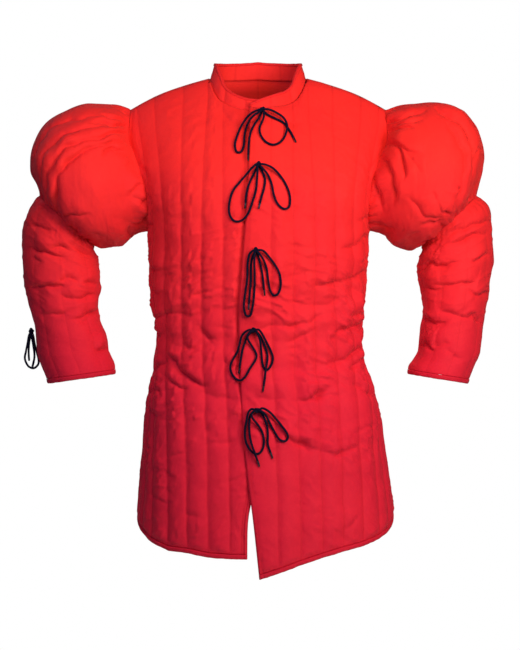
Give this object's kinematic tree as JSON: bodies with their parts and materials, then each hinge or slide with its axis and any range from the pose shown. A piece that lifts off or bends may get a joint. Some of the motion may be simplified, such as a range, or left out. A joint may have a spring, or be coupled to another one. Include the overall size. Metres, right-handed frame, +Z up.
{
  "type": "gambeson",
  "caption": "Quilted, padded jacket with a stand collar, puffed upper sleeves, fitted lower sleeves, a lapped front closed by laces, bound hems and a slit skirt; held in its worn shape.",
  "frame": {"origin": "middle of the neck opening, at the height of the shoulder seams beside the collar, where the shoulders carry the garment", "axes": "+Z up along the wearer's spine, +X towards the wearer's left, -Y towards the laced front"},
  "size_m": [0.8545, 0.3414, 0.9231],
  "materials": {
    "red_cotton": "soft sheen, quilted",
    "red_tape": "matte tape",
    "navy_cord": "matte round cord",
    "grey_metal": "dull crimped metal"
  },
  "bodies": {
    "root": {"front_left": "red_cotton", "front_right": "red_cotton", "back": "red_cotton", "collar": "red_cotton", "puff_left": "red_cotton", "puff_right": "red_cotton", "sleeve_left": "red_cotton", "sleeve_right": "red_cotton", "collar_binding": "red_tape", "hem_binding_left": "red_tape", "hem_binding_right": "red_tape", "hem_binding_back_left": "red_tape", "hem_binding_back_right": "red_tape", "cuff_binding_left": "red_tape", "cuff_binding_right": "red_tape", "tie_1_knot": "navy_cord", "tie_1_loop_left": "navy_cord", "tie_1_loop_right": "navy_cord", "tie_1_end_left": "navy_cord", "tie_1_end_right": "navy_cord", "tie_1_tip_left": "grey_metal", "tie_1_tip_right": "grey_metal", "tie_2_knot": "navy_cord", "tie_2_loop_left": "navy_cord", "tie_2_loop_right": "navy_cord", "tie_2_end_left": "navy_cord", "tie_2_end_right": "navy_cord", "tie_2_tip_left": "grey_metal", "tie_2_tip_right": "grey_metal", "tie_3_knot": "navy_cord", "tie_3_loop_left": "navy_cord", "tie_3_loop_right": "navy_cord", "tie_3_end_left": "navy_cord", "tie_3_end_right": "navy_cord", "tie_3_tip_left": "grey_metal", "tie_3_tip_right": "grey_metal", "tie_4_knot": "navy_cord", "tie_4_loop_left": "navy_cord", "tie_4_loop_right": "navy_cord", "tie_4_end_left": "navy_cord", "tie_4_end_right": "navy_cord", "tie_4_tip_left": "grey_metal", "tie_4_tip_right": "grey_metal", "tie_5_knot": "navy_cord", "tie_5_loop_left": "navy_cord", "tie_5_loop_right": "navy_cord", "tie_5_end_left": "navy_cord", "tie_5_end_right": "navy_cord", "tie_5_tip_left": "grey_metal", "tie_5_tip_right": "grey_metal", "wrist_knot": "navy_cord", "wrist_loop": "navy_cord", "wrist_end_back": "navy_cord", "wrist_end_front": "navy_cord"}
  },
  "joints": []
}
